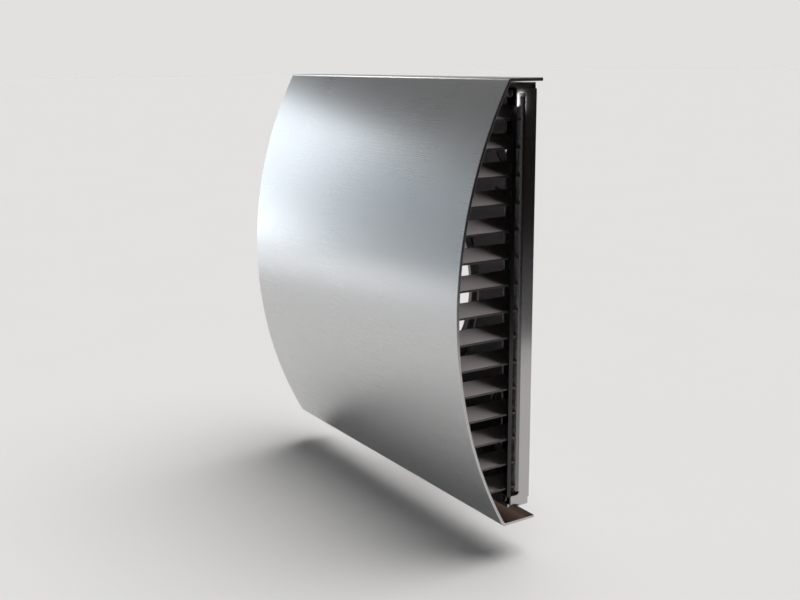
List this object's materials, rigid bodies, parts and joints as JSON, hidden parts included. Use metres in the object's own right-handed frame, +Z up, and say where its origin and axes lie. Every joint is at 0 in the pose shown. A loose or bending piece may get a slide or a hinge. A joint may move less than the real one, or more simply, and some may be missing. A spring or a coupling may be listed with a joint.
{
  "type": "wall ventilation hood",
  "caption": "Wall hood for a round duct: a curved sheet-metal cover over a back pan, with sloping louvre blades down both open sides.",
  "frame": {"origin": "on the axis of the duct, in the plane of the wall that the back pan lies on", "axes": "+X to the right seen from the front, +Y into the wall along the duct, +Z up"},
  "size_m": [0.27, 0.0993, 0.275],
  "materials": {
    "cover_stainless": "satin",
    "frame_stainless": "satin",
    "blade_stainless": "satin",
    "post_stainless": "satin",
    "duct_stainless": "bright",
    "fixing_stainless": "bright"
  },
  "bodies": {
    "root": {"front_cover": "cover_stainless", "back_pan": "frame_stainless", "side_panel_right": "frame_stainless", "side_panel_left": "frame_stainless", "louvre_post_right": "post_stainless", "louvre_post_left": "post_stainless", "spigot_plate": "frame_stainless", "duct_spigot": "duct_stainless", "plate_rivets": "fixing_stainless", "post_rivets": "fixing_stainless", "cover_hook_right": "frame_stainless", "cover_hook_left": "frame_stainless", "cover_spacer_right": "fixing_stainless", "cover_spacer_left": "fixing_stainless", "cover_screw_right": "fixing_stainless", "cover_screw_left": "fixing_stainless", "blade_right_01": "blade_stainless", "blade_right_02": "blade_stainless", "blade_right_03": "blade_stainless", "blade_right_04": "blade_stainless", "blade_right_05": "blade_stainless", "blade_right_06": "blade_stainless", "blade_right_07": "blade_stainless", "blade_right_08": "blade_stainless", "blade_right_09": "blade_stainless", "blade_right_10": "blade_stainless", "blade_right_11": "blade_stainless", "blade_right_12": "blade_stainless", "blade_right_13": "blade_stainless", "blade_right_14": "blade_stainless", "blade_right_15": "blade_stainless", "blade_left_01": "blade_stainless", "blade_left_02": "blade_stainless", "blade_left_03": "blade_stainless", "blade_left_04": "blade_stainless", "blade_left_05": "blade_stainless", "blade_left_06": "blade_stainless", "blade_left_07": "blade_stainless", "blade_left_08": "blade_stainless", "blade_left_09": "blade_stainless", "blade_left_10": "blade_stainless", "blade_left_11": "blade_stainless", "blade_left_12": "blade_stainless", "blade_left_13": "blade_stainless", "blade_left_14": "blade_stainless", "blade_left_15": "blade_stainless"}
  },
  "joints": []
}
